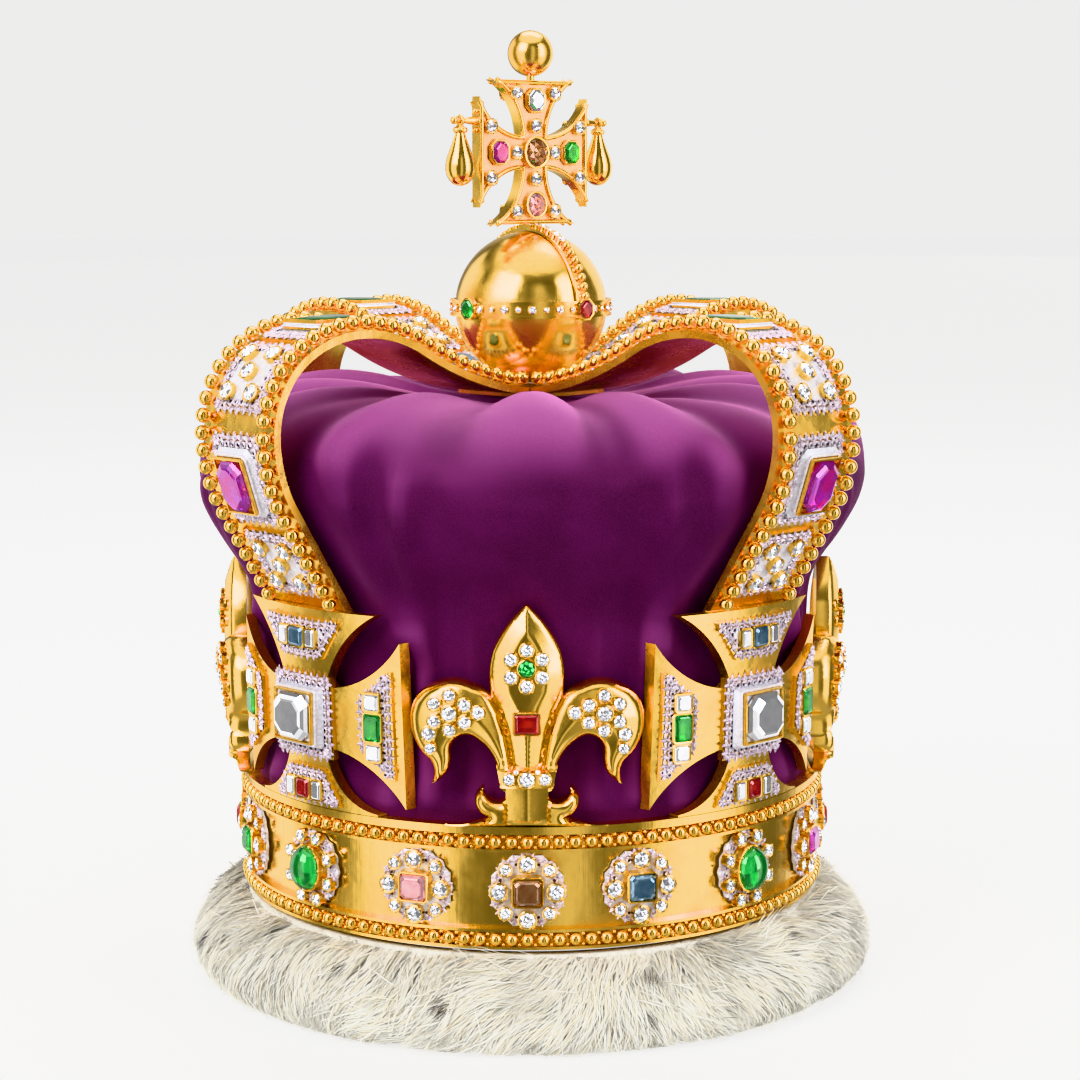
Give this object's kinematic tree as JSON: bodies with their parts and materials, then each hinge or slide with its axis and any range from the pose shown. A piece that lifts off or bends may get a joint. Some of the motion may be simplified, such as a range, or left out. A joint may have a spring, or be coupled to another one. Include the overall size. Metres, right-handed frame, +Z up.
{
  "type": "arched crown",
  "caption": "Jewelled gold circlet with crosses and fleurs, beaded arches over a purple velvet cap, an orb with a cross and hanging drops, and a band of white fur.",
  "frame": {"origin": "middle of the fur band's flat underside", "axes": "+Z up along the crown's axis; the front fleur faces -Y and +X is at the viewer's right"},
  "size_m": [0.25, 0.25, 0.3355],
  "materials": {
    "gold": "polished",
    "fur": "long white fur",
    "velvet": "purple velvet",
    "brown_stone": "cut and polished",
    "blue_stone": "cut and polished",
    "emerald": "cut and polished",
    "purple_stone": "cut and polished",
    "pink_stone": "cut and polished",
    "ruby": "cut and polished",
    "clear_stone": "cut and polished"
  },
  "bodies": {
    "crown": {"arch_back_left": "gold", "arch_back_right": "gold", "arch_beads_back": "gold", "arch_beads_front": "gold", "arch_beads_left": "gold", "arch_beads_right": "gold", "arch_crossing": "gold", "arch_front_left": "gold", "arch_front_right": "gold", "arch_stone_back_left": "purple_stone", "arch_stone_back_right": "purple_stone", "arch_stone_front_left": "purple_stone", "arch_stone_front_right": "purple_stone", "circlet": "gold", "circlet_beads_lower": "gold", "circlet_beads_upper": "gold", "circlet_settings": "gold", "circlet_stone_01": "brown_stone", "circlet_stone_02": "blue_stone", "circlet_stone_03": "emerald", "circlet_stone_04": "purple_stone", "circlet_stone_05": "ruby", "circlet_stone_06": "emerald", "circlet_stone_07": "emerald", "circlet_stone_08": "blue_stone", "circlet_stone_09": "brown_stone", "circlet_stone_10": "pink_stone", "circlet_stone_11": "emerald", "circlet_stone_12": "purple_stone", "circlet_stone_13": "ruby", "circlet_stone_14": "emerald", "circlet_stone_15": "emerald", "circlet_stone_16": "pink_stone", "cross_back_left": "gold", "cross_back_right": "gold", "cross_front_left": "gold", "cross_front_right": "gold", "cross_stone_back_left": "clear_stone", "cross_stone_back_right": "clear_stone", "cross_stone_front_left": "clear_stone", "cross_stone_front_right": "clear_stone", "fleur_back": "gold", "fleur_front": "gold", "fleur_left": "gold", "fleur_right": "gold", "fleur_stone_back": "ruby", "fleur_stone_front": "ruby", "fleur_stone_left": "ruby", "fleur_stone_right": "ruby", "fur_band": "fur", "orb": "gold", "orb_band": "gold", "shoulder_stone_back_left": "emerald", "shoulder_stone_back_right": "emerald", "shoulder_stone_front_left": "emerald", "shoulder_stone_front_right": "emerald", "top_cross": "gold", "velvet_cap": "velvet"},
    "drop_left": {"drop_left": "gold"},
    "drop_right": {"drop_right": "gold"}
  },
  "joints": [
    {"name": "left_drop_swing", "type": "hinge", "parent": "crown", "child": "drop_left", "pos_m": [-0.02415, -0.02175, 0.3035], "axis": [0.7431, 0.6691, 0], "range_deg": [-75, 75]},
    {"name": "right_drop_swing", "type": "hinge", "parent": "crown", "child": "drop_right", "pos_m": [0.02415, 0.02175, 0.3035], "axis": [0.7431, 0.6691, 0], "range_deg": [-75, 75]}
  ]
}
